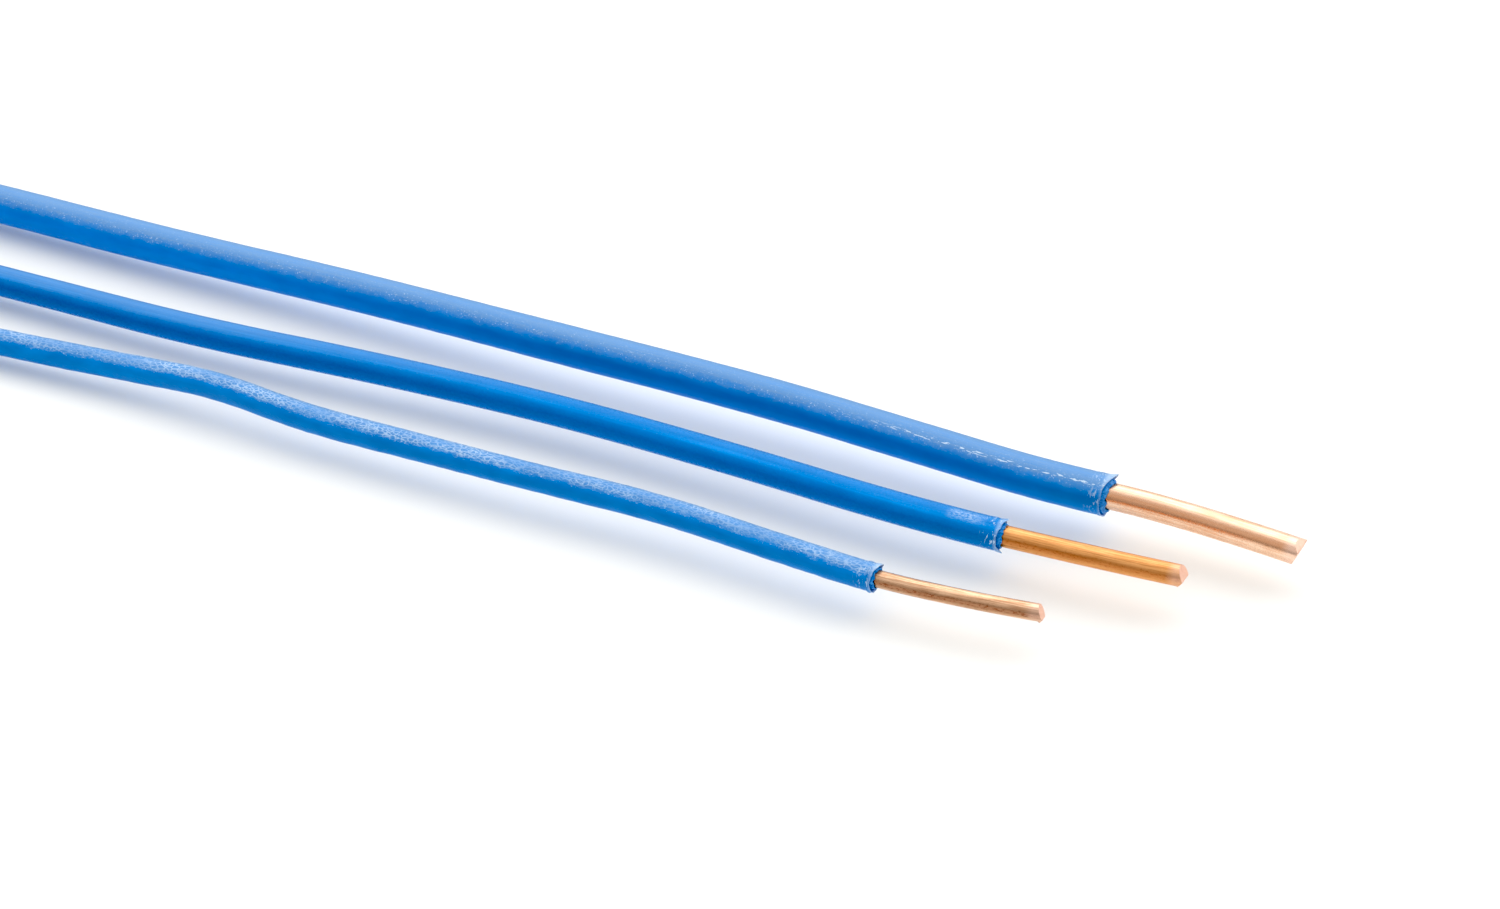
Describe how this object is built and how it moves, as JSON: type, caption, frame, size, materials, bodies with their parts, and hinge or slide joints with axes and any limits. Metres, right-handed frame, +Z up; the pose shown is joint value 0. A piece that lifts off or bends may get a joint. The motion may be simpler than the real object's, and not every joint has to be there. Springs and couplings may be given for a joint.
{
  "type": "stripped building wires",
  "caption": "Solid copper building wires of three gauges with blue nylon-jacketed insulation, laid side by side and stripped at one end for a wire connector.",
  "frame": {"origin": "on the table, under the middle of the three wires together", "axes": "+X along the wires towards the stripped ends, +Y from the thinnest wire to the thickest, +Z up"},
  "size_m": [0.2979, 0.0268, 0.0065],
  "materials": {
    "copper_pale": "drawn copper, bright",
    "copper_orange": "drawn copper, bright",
    "copper_brown": "drawn copper, slightly dull",
    "blue_pvc": "satin",
    "nylon_jacket": "clear nylon over blue, glossy"
  },
  "bodies": {
    "wire_10awg": {"conductor_10awg": "copper_pale", "insulation_10awg": "blue_pvc", "jacket_10awg": "nylon_jacket"},
    "wire_12awg": {"conductor_12awg": "copper_orange", "insulation_12awg": "blue_pvc", "jacket_12awg": "nylon_jacket"},
    "wire_14awg": {"conductor_14awg": "copper_brown", "insulation_14awg": "blue_pvc", "jacket_14awg": "nylon_jacket"}
  },
  "joints": [
    {"name": "lift_12awg", "type": "slide", "parent": "wire_10awg", "child": "wire_12awg", "axis": [0, 0, 1], "range_m": [0, 0.04]},
    {"name": "lift_14awg", "type": "slide", "parent": "wire_10awg", "child": "wire_14awg", "axis": [0, 0, 1], "range_m": [0, 0.04]}
  ]
}
